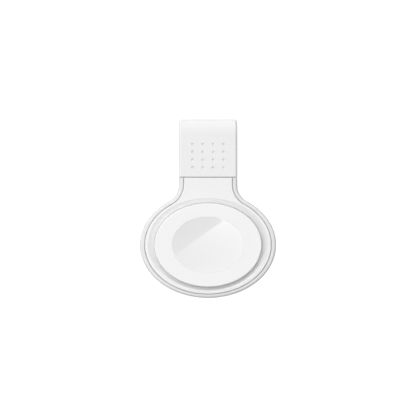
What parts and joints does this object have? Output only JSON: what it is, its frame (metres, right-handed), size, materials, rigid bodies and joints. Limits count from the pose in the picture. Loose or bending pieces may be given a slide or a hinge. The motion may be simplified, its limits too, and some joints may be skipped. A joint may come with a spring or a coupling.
{
  "type": "portable smartwatch charger",
  "caption": "Flat oval charging head with a raised dished pad, and a short neck that ends in a USB-A plug under a square pull-off cap.",
  "frame": {"origin": "under the middle of the oval head, on the surface that the foot pad rests on", "axes": "+Z out of the front face through the charging pad, +Y from the head along the neck towards the plug and cap, +X to the right seen from the front with the plug up"},
  "size_m": [0.039, 0.0511, 0.0095],
  "materials": {
    "housing": "fine satin moulded plastic",
    "face": "smooth satin moulded plastic",
    "pad": "smooth satin moulded plastic",
    "dish": "polished",
    "cap": "smooth satin moulded plastic",
    "cap_liner": "natural moulded acetal",
    "foot": "soft matt silicone",
    "film": "double-sided adhesive film",
    "carrier": "natural moulded plastic",
    "copper": "enamelled copper wire",
    "ferrite": "sintered ferrite",
    "magnet": "nickel plated",
    "steel": "zinc plated",
    "board": "solder mask over glass laminate",
    "chip": "moulded epoxy",
    "capacitor": "ceramic body",
    "crystal": "plated lid",
    "thermal": "soft thermal pad",
    "plug_shell": "nickel-plated folded steel",
    "plug_tongue": "white moulded plastic",
    "contact": "gold plated"
  },
  "bodies": {
    "charger": {"rear_shell": "housing", "front_frame": "housing", "face_plate": "face", "puck_shell": "pad", "dish_cover": "dish", "rear_pad": "foot", "face_adhesive": "film", "pad_adhesive": "film", "dish_adhesive": "film", "coil_carrier": "carrier", "charging_coil": "copper", "coil_leads": "copper", "ferrite_disc": "ferrite", "power_inductor": "ferrite", "alignment_magnet": "magnet", "magnet_yoke": "steel", "carrier_screws": "steel", "board_screws": "steel", "main_board": "board", "controller_chip": "chip", "bridge_chips": "chip", "resistors": "chip", "resonant_capacitors": "capacitor", "ceramic_capacitors": "capacitor", "clock_crystal": "crystal", "thermal_pad": "thermal", "usb_shell": "plug_shell", "usb_tongue": "plug_tongue", "usb_contacts": "contact"},
    "cap": {"cap_shell": "cap", "cap_liner": "cap_liner"}
  },
  "joints": [
    {"name": "cap_pull", "type": "slide", "parent": "charger", "child": "cap", "axis": [0, 1, 0], "range_m": [0, 0.02]}
  ]
}
